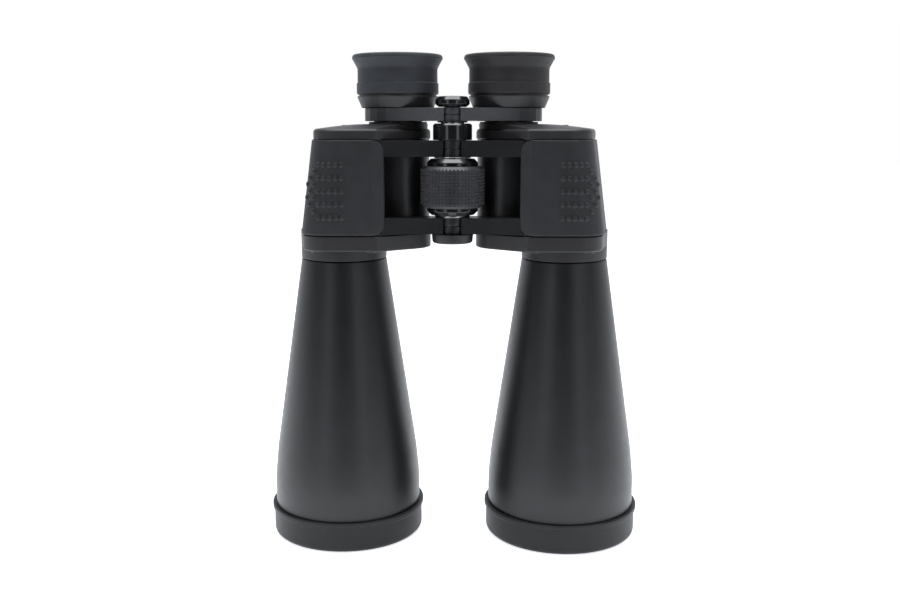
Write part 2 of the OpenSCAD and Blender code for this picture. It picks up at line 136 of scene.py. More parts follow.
def round_outline(circles, steps):
    """Convex outline round (centre, radius) circles given anticlockwise, with its normals."""
    points = []
    for i, here in enumerate(circles):
        start = side_angle(circles[i - 1], here)
        end = side_angle(here, circles[(i + 1) % len(circles)])
        points += arc(here[0], here[1], start, start + (end - start) % 360, steps)
    return points


def outer_side(k):
    return foot_x + (head_x - foot_x) * k


def front_corner(k):
    """Middle of the round corner between the front and the outer side."""
    return Vector((outer_side(k) + FRONT_R + FRONT_IN, body_front + FRONT_R))


def back_corner(k):
    return Vector((outer_side(k) + BACK_R, objective.y))


def body_outline(k, inset, nose):
    """Outline of a body half at share k of its height, moved inwards by inset."""
    return round_outline(
        [
            (front_corner(k), FRONT_R - inset),
            ((inner_x - INNER_R, body_front + INNER_R), INNER_R - inset),
            (eye, nose),
            (back_corner(k), BACK_R - inset),
        ],
        18,
    )


def ring(outline, z):
    return [(p.x, p.y, z) for p, _ in outline]


def circle_ring(outline, centre, r, z):
    """Ring of a circle whose points have the same normals as the outline's points."""
    return [(*(Vector(centre) + r * turn(a)), z) for _, a in outline]


def mixed(a, b, t):
    return [Vector(p).lerp(Vector(q), t) for p, q in zip(a, b)]


# ---- shapes: each is (vertices in mm, faces) ----


def rounded(corners, steps=4):
    """Closed profile through (radius, height, fillet) corners, each rounded by its fillet."""
    points = []
    for i, (r, z, fillet) in enumerate(corners):
        here = Vector((r, z))
        if fillet == 0:
            points.append(here)
            continue
        back = Vector(corners[i - 1][:2]) - here
        ahead = Vector(corners[(i + 1) % len(corners)][:2]) - here
        half = back.angle(ahead) / 2
        reach = min(fillet / math.tan(half), 0.49 * back.length, 0.49 * ahead.length)
        back.normalize()
        ahead.normalize()
        bisector = (back + ahead).normalized()
        centre = here + bisector * reach / math.cos(half)
        from_here = here + back * reach - centre
        to_there = here + ahead * reach - centre
        for k in range(steps + 1):
            direction = from_here.lerp(to_there, k / steps).normalized()
            points.append(centre + direction * from_here.length)
    return points


def lathe(centre, corners, segments=112, steps=4):
    """Solid of revolution of a closed profile."""
    verts, faces, rows = [], [], []
    for p in rounded(corners, steps):
        if p.x < 1e-6:
            rows.append([len(verts)] * segments)
            verts.append((centre[0], centre[1], p.y))
            continue
        rows.append(range(len(verts), len(verts) + segments))
        for i in range(segments):
            spot = Vector(centre) + p.x * turn(360 * i / segments)
            verts.append((spot.x, spot.y, p.y))
    for j, row in enumerate(rows):
        after = rows[(j + 1) % len(rows)]
        for i in range(segments):
            k = (i + 1) % segments
            corners_here = list(dict.fromkeys((row[i], row[k], after[k], after[i])))
            if len(corners_here) > 2:
                faces.append(corners_here)
    return verts, faces


def loft(rings, closed=False):
    """Skin over rings of equal count; closed joins the last ring to the first, else both end in a face."""
    count = len(rings[0])
    verts = [tuple(p) for r in rings for p in r]
    faces = []
    for j in range(len(rings) if closed else len(rings) - 1):
        here, after = j * count, (j + 1) % len(rings) * count
        for i in range(count):
            k = (i + 1) % count
            faces.append((here + i, here + k, after + k, after + i))
    if not closed:
        faces.append(tuple(range(count)))
        faces.append(tuple(range(len(verts) - count, len(verts))))
    return verts, faces


def joined(*shapes):
    verts, faces = [], []
    for v, f in shapes:
        faces += [tuple(i + len(verts) for i in face) for face in f]
        verts += list(v)
    return verts, faces


def placed(shape, point):
    """The shape with point(vertex) in place of each vertex."""
    verts, faces = shape
    return [tuple(point(Vector(v))) for v in verts], faces


def mirrored(side, shape):
    if side == LEFT:
        return shape
    return placed(shape, lambda v: (-v.x, v.y, v.z))


# ---- materials ----


class Look:
    """A procedural material on the Principled shader, in object coordinates."""

    def __init__(self, name, **settings):
        self.material = bpy.data.materials.new(name)
        self.material.use_nodes = True
        self.tree = self.material.node_tree
        self.shader = self.tree.nodes["Principled BSDF"]
        self.place = self.add("ShaderNodeTexCoord").outputs["Object"]
        self.normal = None
        for socket, value in settings.items():
            self.shader.inputs[socket.replace("_", " ")].default_value = value

    def add(self, kind, **inputs):
        node = self.tree.nodes.new(kind)
        for socket, value in inputs.items():
            node.inputs[socket.replace("_", " ")].default_value = value
        return node

    def link(self, out, into):
        self.tree.links.new(out, into)

    def noise(self, size, detail=3.0, stretch=(1, 1, 1)):
        """Noise whose features are about size millimetres wide."""
        mapping = self.add("ShaderNodeMapping")
        mapping.inputs["Scale"].default_value = stretch
        self.link(self.place, mapping.inputs["Vector"])
        node = self.add("ShaderNodeTexNoise", Scale=1 / (size * MM), Detail=detail)
        self.link(mapping.outputs["Vector"], node.inputs["Vector"])
        return node.outputs["Fac"]

    def pebbles(self, size):
        node = self.add("ShaderNodeTexVoronoi", Scale=1 / (size * MM))
        node.feature = "SMOOTH_F1"
        self.link(self.place, node.inputs["Vector"])
        return node.outputs["Distance"]

    def colours(self, factor, dark, light, start=0.3, end=0.7):
        ramp = self.add("ShaderNodeValToRGB")
        ramp.color_ramp.elements[0].position = start
        ramp.color_ramp.elements[0].color = (*dark, 1)
        ramp.color_ramp.elements[1].position = end
        ramp.color_ramp.elements[1].color = (*light, 1)
        self.link(factor, ramp.inputs["Fac"])
        self.link(ramp.outputs["Color"], self.shader.inputs["Base Color"])

    def roughness(self, factor, smooth, rough):
        span = self.add("ShaderNodeMapRange")
        span.inputs["To Min"].default_value = smooth
        span.inputs["To Max"].default_value = rough
        self.link(factor, span.inputs["Value"])
        self.link(span.outputs["Result"], self.shader.inputs["Roughness"])

    def bump(self, height, strength, depth):
        """Adds a bump of depth millimetres on top of those already there."""
        node = self.add("ShaderNodeBump", Strength=strength, Distance=depth * MM)
        self.link(height, node.inputs["Height"])
        if self.normal:
            self.link(self.normal, node.inputs["Normal"])
        self.normal = node.outputs["Normal"]
        self.link(self.normal, self.shader.inputs["Normal"])


def painted(name, dark, light, smooth=0.34, rough=0.46, grain=0.35):
    """Satin paint with a fine orange-peel grain."""
    look = Look(name, IOR=1.46)
    look.colours(look.noise(14, 4), dark, light)
    look.roughness(look.noise(5, 3), smooth, rough)
    look.bump(look.noise(1.6, 2), 0.25, 0.03)
    look.bump(look.noise(grain, 2), 0.3, 0.02)
    return look.material


def rubber(name, dark, light, grain=0.45, rough=0.62):
    """Matte moulded rubber with a fine pebbled skin."""
    look = Look(name, IOR=1.4, Sheen_Weight=0.03, Sheen_Roughness=0.45)
    look.colours(look.noise(9, 5), dark, light)
    look.roughness(look.noise(3, 4), rough - 0.08, rough + 0.06)
    look.bump(look.pebbles(grain), 0.35, 0.05)
    look.bump(look.noise(2.5, 3), 0.2, 0.05)
    return look.material


def moulded(name, dark, light, smooth, rough, grain=0.3, strength=0.25, shine=0.5):
    """Moulded plastic, from glossy to matte."""
    look = Look(name, IOR=1.49, Specular_IOR_Level=shine)
    look.colours(look.noise(12, 3), dark, light)
    look.roughness(look.noise(4, 3), smooth, rough)
    look.bump(look.noise(grain, 3), strength, 0.02)
    return look.material


def metal(name, dark, light, smooth, rough, lines=(1, 1, 12)):
    """Turned metal, with fine tool lines round the hinge or eyepiece axis."""
    look = Look(name, Metallic=1.0)
    look.colours(look.noise(1.5, 3, lines), dark, light)
    look.roughness(look.noise(1, 3, lines), smooth, rough)
    look.bump(look.noise(0.5, 2, lines), 0.2, 0.01)
    return look.material


def glass(name, tint, reflect):
    """Coated lens glass: dark inside, with a coloured coating and the faintest dust."""
    look = Look(name, IOR=1.52, Transmission_Weight=0.75, Coat_Weight=1.0, Coat_Roughness=0.02)
    look.shader.inputs["Coat Tint"].default_value = (*reflect, 1)
    look.colours(look.noise(20, 2), tint, [min(1, c * 1.15) for c in tint])
    look.roughness(look.noise(0.8, 4), 0.01, 0.06)
    look.bump(look.noise(0.6, 4), 0.05, 0.002)
    return look.material


def grey(value, warm=0.0):
    """A near-black: warm moves it from bluish to brownish."""
    return (value * (1 + warm), value, value * (1.12 - warm))


LOOKS = {
    "tube_paint": painted("tube_paint", grey(0.006, -0.06), grey(0.009, -0.06)),
    "housing_paint": painted("housing_paint", grey(0.009), grey(0.013), 0.3, 0.42),
    "cover_paint": painted("cover_paint", grey(0.014, 0.05), grey(0.018, 0.05), 0.45, 0.56),
    "bridge_paint": painted("bridge_paint", grey(0.038), grey(0.048), 0.36, 0.48),
    "armour_rubber": rubber("armour_rubber", grey(0.015), grey(0.021)),
    # The two eyecups are one rubber: the left copy is painted lighter and bluer as painted light, the right
    # copy darker and browner as painted shade.
    "left_eyecup_rubber": rubber("left_eyecup_rubber", grey(0.03, -0.08), grey(0.04, -0.08), 0.35),
    "right_eyecup_rubber": rubber("right_eyecup_rubber", grey(0.017, 0.06), grey(0.023, 0.06), 0.35),
    "grip_rubber": rubber("grip_rubber", grey(0.034), grey(0.044), 0.25, 0.4),
    "cap_plastic": moulded("cap_plastic", grey(0.008), grey(0.012), 0.42, 0.52, shine=0.3),
    "ring_plastic": moulded("ring_plastic", grey(0.016, 0.03), grey(0.022, 0.03), 0.4, 0.52),
    "black_plastic": moulded("black_plastic", grey(0.008), grey(0.012), 0.4, 0.5),
    "black_gloss": moulded("black_gloss", grey(0.007), grey(0.01), 0.12, 0.2, 0.6, 0.08),
    "black_metal": moulded("black_metal", grey(0.008), grey(0.012), 0.28, 0.4, 0.4, 0.15),
    "steel": metal("steel", (0.42, 0.42, 0.43), (0.58, 0.58, 0.6), 0.22, 0.36),
    "black_steel": metal("black_steel", (0.05, 0.05, 0.055), (0.09, 0.09, 0.095), 0.3, 0.45),
    "spring_steel": metal("spring_steel", (0.5, 0.5, 0.51), (0.62, 0.62, 0.63), 0.2, 0.35),
    "coated_lens": glass("coated_lens", (0.05, 0.07, 0.1), (0.45, 0.6, 1.0)),
    "prism_glass": glass("prism_glass", (0.7, 0.8, 0.77), (0.95, 1.0, 0.98)),
}


def look_of(node):
    name = node_slot[node]
    # The eyecup rubber is split into a lighter left copy and a darker right copy: painted light on the left,
    # painted shade on the right.
    if name == "eyecup_rubber":
        name = node.split("_")[0] + "_" + name
    return LOOKS[name]


# ---- making pieces ----


def piece(name, shape, like, sharp=34, body=None, replaced=True):
    """A piece that stands for CAD node like: it takes that node's body and the look of its slot."""
    verts, faces = shape
    mesh = bpy.data.meshes.new(name)
    mesh.from_pydata([Vector(v) * MM for v in verts], [], faces)
    work = bmesh.new()
    work.from_mesh(mesh)
    bmesh.ops.recalc_face_normals(work, faces=work.faces)
    work.to_mesh(mesh)
    work.free()
    mesh.shade_smooth()
    mesh.set_sharp_from_angle(angle=math.radians(sharp))
    mesh.materials.append(look_of(like))
    made = bpy.data.objects.new(name, mesh)
    bpy.context.scene.collection.objects.link(made)
    weighted = made.modifiers.new("even_normals", "WEIGHTED_NORMAL")
    weighted.keep_sharp = True
    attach(made, body or frame["nodes"][like]["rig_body"])
    if replaced:
        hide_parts(like)
    return made


def keep_node(node, bevel=0.25):
    """Keeps a CAD node's own mesh, with its look and softened edges."""
    kept = frame["nodes"][node]
    kept.data.materials.clear()
    kept.data.materials.append(look_of(node))
    kept.modifiers.new("weld", "WELD").merge_threshold = 0.00001
    flat = kept.modifiers.new("flat_faces", "DECIMATE")
    flat.decimate_type = "DISSOLVE"
    flat.angle_limit = math.radians(1)
    edges = kept.modifiers.new("soft_edges", "BEVEL")
    edges.width = bevel * MM
    edges.segments = 3
    edges.angle_limit = math.radians(40)
    edges.harden_normals = True
    return kept


# ---- objective end ----


def objective_tube(side):
    node = f"{side}_objective_tube"
    foot, top = low(node).z, high(node).z
    rim_r = radius(node)
    neck_r = 24.8
    sleeve_r, sleeve_bore = neck_r - 2.3, neck_r - 3.9
    tube_top = 166.0
    bend_low, bend_high = 28.0, 52.0
    slope = 0.149
    bend_r = neck_r + slope * (tube_top - bend_high)
    wall = 1.6
    corners = [
        (rim_r, foot, 0.4),
        (rim_r, bend_low + 6, 90),
        (bend_r, bend_high, 0),
        (neck_r, tube_top, 0.8),
        (sleeve_r, tube_top, 0),
        (sleeve_r, top, 0.3),
        (sleeve_bore, top, 0.3),
        (sleeve_bore, tube_top - 1, 0),
        (bend_r - wall, bend_high, 0),
        (rim_r - wall, bend_low, 0),
        (rim_r - wall, foot, 0.3),
    ]
    piece(node, mirrored(side, lathe(objective, corners, 160, 10)), node, 24)


def objective_cap(side):
    node = f"{side}_objective_cap"
    top = high(node).z
    lip_r = radius(node)
    side_r = lip_r - 1
    inside_r = 40.6
    fit_r = 43.7
    seat_z, floor_z = 9, 2.4
    corners = [
        (0, 0.8, 0),
        (29.4, 0.8, 0.4),
        (31, 0, 0.8),
        (side_r, 0, 3),
        (side_r, top - 3.6, 0.5),
        (lip_r, top - 2.8, 0.5),
        (lip_r, top, 0.7),
        (fit_r, top, 0.3),
        (fit_r, seat_z, 0),
        (inside_r, seat_z, 0.3),
        (inside_r, floor_z, 1.0),
        (12, floor_z, 0.3),
        (11.2, 3.0, 0.3),
        (0, 3.0, 0),
    ]
    piece(node, mirrored(side, lathe(objective, corners, 160, 5)), node)


def objective_cell(side):
    node = f"{side}_objective_cell"
    foot, top = low(node).z, high(node).z
    outer_r = radius(node)
    lens_r = radius("left_front_lens")
    glass_low = foot + 4
    corners = [
        (lens_r - 1.2, foot + 2.6, 0.2),
        (lens_r + 0.6, foot + 1.8, 0.2),
        (lens_r + 1.2, foot, 0.3),
        (outer_r, foot, 0.3),
        (outer_r, top, 0.3),
        (lens_r, top, 0.3),
        (lens_r, glass_low, 0),
        (lens_r - 1.2, glass_low, 0.2),
    ]
    piece(node, mirrored(side, lathe(objective, corners, 160)), node)


def lens(node, centre, low_depth, high_depth, side):
    """Lens between its CAD node's lowest and highest point, with spherical faces."""
    bottom, top = low(node).z, high(node).z
    rim = radius(node)
    steps = 14
    under = [(rim * i / steps, bottom + low_depth * (i / steps) ** 2, 0) for i in range(steps + 1)]
    over = [(rim * i / steps, top - high_depth * (i / steps) ** 2, 0) for i in range(steps, -1, -1)]
    piece(node, mirrored(side, lathe(centre, under + over, 96)), node, 40)


# ---- body ----


def cover_ring(k, inset, z):
    """Ring round a cover, at share k of the body's height and moved inwards by inset."""
    return ring(body_outline(k, inset, nose_r + 0.1 + COVER_INSET - inset), z)


def top_cover(side):
    node = f"{side}_top_cover"
    rim = body_high + 4.8
    neck_low, neck_high = rim + 3.4, high("left_eyepiece_barrel").z - 7.6
    guide_low = low(node).z
    guide_bore, guide_out, roof = 13.65, 15.2, rim - 1.4

    sample = body_outline(1, 0, nose_r)
    corner = 2.2
    rings = [cover_ring(1, COVER_INSET + 0.3, body_high), cover_ring(1, COVER_INSET, body_high + 0.4)]
    rings += [
        cover_ring(1, COVER_INSET + corner - corner * math.sin(a), rim - corner * 0.6 + corner * math.cos(a))
        for a in [math.radians(90 - 15 * i) for i in range(6)]
    ]
    shoulder = rings[-1]
    neck = circle_ring(sample, eye, nose_r - 1.2, neck_low)
    shoulder_z = shoulder[0][2]
    for i in range(1, 11):
        t = i / 10
        rise = math.sin(math.radians(90 * t))
        level = mixed(shoulder, neck, t)
        rings.append([(p.x, p.y, shoulder_z + (neck_low - shoulder_z) * rise) for p in level])
    for r, z in (
        (nose_r - 1.7, neck_low + 0.1),
        (nose_r - 1.7, neck_high - 0.3),
        (nose_r - 2.0, neck_high),
        (guide_bore + 0.3, neck_high),
        (guide_bore, neck_high - 0.3),
        (guide_bore, guide_low + 0.2),
        (guide_bore + 0.2, guide_low),
        (guide_out - 0.2, guide_low),
        (guide_out, guide_low + 0.2),
        (guide_out, roof),
    ):
        rings.append(circle_ring(sample, eye, r, z))
    inside = body_outline(1, COVER_INSET + WALL, nose_r - 1.7)
    rings += [ring(inside, roof), ring(inside, body_high)]
    shape = joined(loft(rings, closed=True), strap_eye())
    piece(node, mirrored(side, shape), node, 30)


def strap_eye():
    """Eye for the neck strap on the back of the cover, rounded, with its bore across."""
    x = -66.0
    y = high("left_top_cover").y - 3.6
    z = body_high + 4.0
    bore, thick, edge = 2.2, 3.5, 0.35
    rings = []
    outline = [
        (turn(a) * 3.6 if -90 <= a <= 90 else Vector((-6.4, 4 * math.sin(math.radians(a)))))
        for a in range(-90, 270, 15)
    ]
    hole = [turn(a) * bore for a in range(-90, 270, 15)]
    for flat, shift, grow in (
        (hole, -thick / 2, edge),
        (outline, -thick / 2, -edge),
        (outline, -thick / 2 + edge, 0),
        (outline, thick / 2 - edge, 0),
        (outline, thick / 2, -edge),
        (hole, thick / 2, edge),
        (hole, thick / 2 - edge, 0),
        (hole, -thick / 2 + edge, 0),
    ):
        grown = [p + grow * p.normalized() for p in flat]
        rings.append([(x + shift, y + p.x, z + p.y) for p in grown])
    return loft(rings, closed=True)


def bottom_cover(side):
    node = f"{side}_bottom_cover"
    collar_low = low(node).z
    foot = body_low - 8.6
    collar_r, bore = 24.9, 22.5
    corner = 1.0
    sample = body_outline(0, 0, nose_r)

    rings = []
    for r, z in (
        (bore, collar_low + 0.3),
        (bore + 0.3, collar_low),
        (collar_r - 0.5, collar_low),
        (collar_r - 0.15, collar_low + 0.15),
        (collar_r, collar_low + 0.5),
        (collar_r, foot),
    ):
        rings.append(circle_ring(sample, objective, r, z))

    def clear_of_collar(points):
        """Moves points that lie inside the collar's circle out onto it."""
        moved = []
        for x, y, z in points:
            reach = Vector((x, y)) - objective
            spot = objective + reach * max(1.0, (collar_r + 0.05) / reach.length)
            moved.append((spot.x, spot.y, z))
        return moved

    for i in range(7):
        a = math.radians(15 * i)
        inset = COVER_INSET + corner * (1 - math.sin(a))
        rings.append(clear_of_collar(cover_ring(0, inset, foot + corner * (1 - math.cos(a)))))
    rings.append(clear_of_collar(cover_ring(0, COVER_INSET, body_low - 0.5)))
    rings.append(clear_of_collar(cover_ring(0, COVER_INSET + 0.3, body_low - 0.2)))
    inside = body_outline(0, COVER_INSET + WALL, nose_r - 1.7)
    rings += [ring(inside, body_low - 0.2), ring(inside, foot + WALL)]
    rings.append(circle_ring(sample, objective, bore, foot + WALL))
    piece(node, mirrored(side, loft(rings, closed=True)), node, 30)


def housing_outline(k, inset, pocket_inset):
    """Outline of the housing shell, with the pocket in front of the nose that the wheel turns in."""
    t = ARMOUR_T + inset
    corner = max(1.6 - inset, 0.3)
    side_x, front_y = wall_x - pocket_inset, body_front + t
    pocket_r = nose_r - 0.6 - pocket_inset
    front = (front_corner(k), FRONT_R - t)
    back = (back_corner(k), BACK_R - t)
    meet = 360 - math.degrees(math.acos((side_x - eye.x) / pocket_r))
    leave = side_angle((eye, pocket_r), back) + 360
    outer = side_angle(back, front) % 360
    points = arc(front[0], front[1], outer, 270, 12)
    points += arc((side_x - corner, front_y + corner), corner, 270, 360, 5)
    points += arc(eye, pocket_r, meet, leave, 36)
    points += arc(back[0], back[1], leave, outer + 360, 20)
    return points


def prism_housing(side):
    node = f"{side}_prism_housing"
    rings = [
        ring(housing_outline(0, 0, 0), body_low),
        ring(housing_outline(1, 0, 0), body_high),
        ring(housing_outline(1, WALL, POCKET_WALL), body_high),
        ring(housing_outline(0, WALL, POCKET_WALL), body_low),
    ]
    piece(node, mirrored(side, loft(rings, closed=True)), node, 30)


# Plan of the armour's inner end on the hinge side, as offsets from the pocket's wall and the
# body's front: it wraps the corner and rises over a wide bevel to the front face.
STRIP_W = 6.6
STRIP_DROP = 2.0
CREASE = 0.3
CORNER_R = 5.5
EDGE_R = 0.9


def armour_section(k):
    """Plan of the armour at share k of its height: (outer point, inner point, distance to its end)."""
    edge_y = body_front + STRIP_DROP
    side_y = body_front + 6.2
    shell_x, shell_y = wall_x, body_front + ARMOUR_T
    section = [
        (Vector((inner_x - 0.7, side_y)), Vector((shell_x - 0.4, side_y)), 0.0),
        (Vector((inner_x - 0.1, side_y - 0.3)), Vector((shell_x - 0.3, side_y - 0.3)), 0.0),
        (Vector((inner_x, side_y - 1.0)), Vector((shell_x, side_y - 1.0)), 0.0),
        (Vector((inner_x, edge_y + 0.9)), Vector((shell_x, shell_y + 0.6)), 0.0),
    ]
    for spot, _ in arc((inner_x - 0.9, edge_y + 0.9), 0.9, -10, -65, 4):
        section.append((spot, Vector((shell_x - 0.3, shell_y)), max(0, inner_x - spot.x)))
    for i in range(1, 11):
        share = i / 10
        rise = (edge_y + 0.08) + (body_front + CREASE - edge_y - 0.08) * share
        x = inner_x - 0.55 - (STRIP_W - 0.55) * share
        section.append((Vector((x, rise)), Vector((x - 0.6, shell_y)), inner_x - x))
    last_x = section[-1][0].x - CREASE
    corner, centre = front_corner(k), back_corner(k)
    side = side_angle((centre, BACK_R), (corner, FRONT_R)) % 360
    leave = side_angle((eye, nose_r), (centre, BACK_R)) % 360
    for i in range(13):
        x = last_x + (corner.x - last_x) * i / 12
        section.append((Vector((x, body_front)), Vector((x - 0.6, shell_y)), 99.0))
    for spot, a in arc(corner, FRONT_R, 270, side, 18)[1:]:
        section.append((spot, spot - ARMOUR_T * turn(a), 99.0))
    outwards = turn(side)
    side_start, side_end = corner + FRONT_R * outwards, centre + BACK_R * outwards
    for i in range(1, 7):
        spot = side_start.lerp(side_end, i / 6)
        section.append((spot, spot - ARMOUR_T * outwards, 99.0))
    for spot, a in arc(centre, BACK_R, side, leave, 22)[1:]:
        section.append((spot, spot - ARMOUR_T * turn(a), 99.0))
    start = section[-1][0]
    along = Vector((eye.x, eye.y)) + nose_r * turn(leave) - start
    reach = along.length * (inner_x - start.x) / along.x
    along.normalize()
    out = turn(leave)
    for i in range(1, 24):
        t = reach * i / 23
        left_over = reach - t
        drop = STRIP_DROP * max(0, 1 - left_over / STRIP_W)
        spot = start + along * t
        section.append((spot - out * drop, spot - out * ARMOUR_T, left_over))
    return section


def stud(centre, out, up):
    """Grip stud: a small dome with a flared foot, on a surface whose outward normal is out."""
    profile = [
        (1.75, -0.25), (1.7, 0.02), (1.5, 0.14), (1.36, 0.4),
        (1.15, 0.68), (0.85, 0.86), (0.5, 0.96), (0, STUD_H),
    ]
    segments = 18
    across = up.cross(out)
    verts, faces = [], []
    for r, h in profile[:-1]:
        for i in range(segments):
            flat = turn(360 * i / segments) * r
            verts.append(tuple(centre + across * flat.x + up * flat.y + out * h))
    verts.append(tuple(centre + out * STUD_H))
    tip = len(verts) - 1
    for j in range(len(profile) - 2):
        for i in range(segments):
            k = (i + 1) % segments
            here, above = j * segments, (j + 1) * segments
            faces.append((here + i, here + k, above + k, above + i))
    last = (len(profile) - 2) * segments
    faces += [(last + i, last + (i + 1) % segments, tip) for i in range(segments)]
    faces.append(tuple(range(segments)))
    return verts, faces


def grip_studs():
    """Five straight columns on the front, then an arrowhead round the outer corner."""
    pitch, column, middle_z = 7.1, 3.3, 207.4
    inner_column = -59.3
    lean = (head_x - foot_x) / (body_high - body_low)
    shapes = []
    for c in range(8):
        rows = 5 if c < 5 else 9 - c
        for row in range(rows):
            z = middle_z + pitch * (row - (rows - 1) / 2)
            corner = front_corner((z - body_low) / (body_high - body_low))
            x = inner_column - column * c
            out = turn(270 - math.degrees(max(0.0, corner.x - x) / FRONT_R))
            spot = Vector((max(x, corner.x), corner.y)) + FRONT_R * out
            normal = Vector((out.x, out.y, lean * abs(out.x))).normalized()
            up = Vector((0, 0, 1)) - normal * normal.z
            shapes.append(stud(Vector((*spot, z)), normal, up.normalized()))
    return joined(*shapes)


def rounding(r, distance):
    """How far a corner of radius r has drawn back at a distance from its end."""
    gap = min(r, max(0.0, r - distance))
    return r - math.sqrt(r**2 - gap**2)


def body_armour(side):
    node = f"{side}_body_armour"
    foot, head = low(node).z, high(node).z
    height = head - foot
    near = [0, 0.08, 0.25, 0.5, 0.9, 1.6, 3.0]
    steps = [d / height for d in near] + [i / 12 for i in range(1, 12)]
    steps += [1 - d / height for d in reversed(near)]
    outer_rows, inner_rows = [], []
    for share in steps:
        outer_row, inner_row = [], []
        for i, (_, _, end) in enumerate(armour_section(share)):
            cut = rounding(CORNER_R, end)
            z = foot + cut + (height - 2 * cut) * share
            out, inside, _ = armour_section((z - body_low) / (body_high - body_low))[i]
            depth = min(z - foot - cut, head - cut - z)
            edge = rounding(EDGE_R, depth)
            inwards = (inside - out).normalized()
            out = out + inwards * min(edge, (inside - out).length - 0.1)
            outer_row.append((out.x, out.y, z))
            inner_row.append((inside.x, inside.y, z))
        outer_rows.append(outer_row)
        inner_rows.append(inner_row)
    rings = [outer + inner[::-1] for outer, inner in zip(outer_rows, inner_rows)]
    shape = joined(loft_sheet(rings, len(outer_rows[0])), grip_studs())
    piece(node, mirrored(side, shape), node, 16)


def loft_sheet(rings, width):
    """Skin over rings that each go out along a sheet and back, closed at both ends by a strip."""
    verts, faces = loft(rings)
    faces = faces[:-2]
    count = 2 * width
    for base in (0, len(verts) - count):
        for i in range(width - 1):
            faces.append((base + i, base + i + 1, base + count - 2 - i, base + count - 1 - i))
    return verts, faces


# ---- hinge and focus ----


def hinge_pieces():
    collar = "hinge_collar"
    bottom, top = low(collar).z, high(collar).z
    seat = low("left_upper_arm").z + ARM_H + 0.2
    collar_r = radius(collar)
    piece(collar, lathe(hinge, [
        (SPINDLE_BORE, bottom, 0.1),
        (7.4, bottom, 0.2),
        (7.4, seat, 0),
        (collar_r, seat, 0.3),
        (collar_r, top - 0.9, 0.3),
        (collar_r - 0.9, top, 0.3),
        (SPINDLE_BORE, top, 0.2),
    ]), collar)

    axle = "hinge_axle"
    bottom, top = low(axle).z, high(axle).z
    thread = []
    pitch, depth, socket_r = 1.27, 0.35, 3.175
    for i in range(9):
        z = bottom + 1.0 + pitch * i
        thread += [(socket_r, z, 0), (socket_r + depth, z + pitch / 2, 0)]
    arm_low = high("left_lower_arm").z - ARM_H
    socket_top, pin_low = bottom + 12.7, arm_low + 9.6
    piece(axle, lathe(hinge, [
        (0, socket_top, 0),
        (0, top, 0),
        (4, top, 0.4),
        (4, pin_low, 0),
        (6, pin_low, 0.3),
        (6, arm_low - 0.1, 0),
        (8, arm_low - 0.1, 0.3),
        (8, bottom, 0.5),
        (socket_r + 0.5, bottom, 0.2),
        *thread,
        (socket_r, socket_top, 0),
    ], 96), axle)

    cover = "tripod_socket_cover"
    bottom, top = low(cover).z, high(cover).z
    cover_r = radius(cover)
    piece(cover, lathe(hinge, [
        (0, bottom + 0.3, 0),
        (cover_r - 3.2, bottom + 0.3, 0.3),
        (cover_r - 2.8, bottom, 0.3),
        (cover_r - 0.5, bottom, 1.3),
        (cover_r, top, 0.4),
        (8.05, top, 0.3),
        (8.05, bottom + 1, 0.2),
        (0, bottom + 1, 0),
    ]), cover)

    spindle = "focus_spindle"
    bottom, top = low(spindle).z, high(spindle).z - 0.1
    ridges = []
    rib = 1.2
    for i in range(int((top - 1.5 - bottom - 2) / rib)):
        z = top - 1.2 - rib * i
        ridges += [(6.4, z, 0), (6.4, z - 0.45, 0), (6.0, z - 0.7, 0), (6.0, z - 0.95, 0)]
    piece(spindle, lathe(hinge, [
        (4.05, bottom, 0.2),
        (4.05, top - 3, 0),
        (0, top - 3, 0),
        (0, top, 0),
        (6.4, top, 0.2),
        *ridges,
        (6.4, bottom, 0.3),
    ], 96), spindle, 25)

    boss = "bridge_boss"
    bottom, top = low(boss).z, high(boss).z
    flange = lathe(hinge, [
        (6.4, bottom, 0.1),
        (8.2, bottom, 0.3),
        (8.2, bottom + 0.8, 0.1),
        (6.4, bottom + 0.8, 0),
    ])
    post = lathe(hinge, [
        (0, bottom + 0.5, 0),
        (4.4, bottom + 0.5, 0),
        (4.4, top, 0.1),
        (0, top, 0),
    ])
    piece(boss, joined(flange, post), boss)

    cap = "bridge_cap"
    bottom, top = low(cap).z, high(cap).z
    cap_r = radius(cap)
    piece(cap, lathe(hinge, [
        (0, bottom, 0),
        (cap_r - 1.8, bottom, 0.3),
        (cap_r, bottom + 1.4, 0.5),
        (cap_r, top - 2.4, 1.0),
        (cap_r - 1.5, top - 0.5, 0.7),
        (cap_r - 3.0, top - 0.3, 3.0),
        (0, top, 0),
    ]), cap)


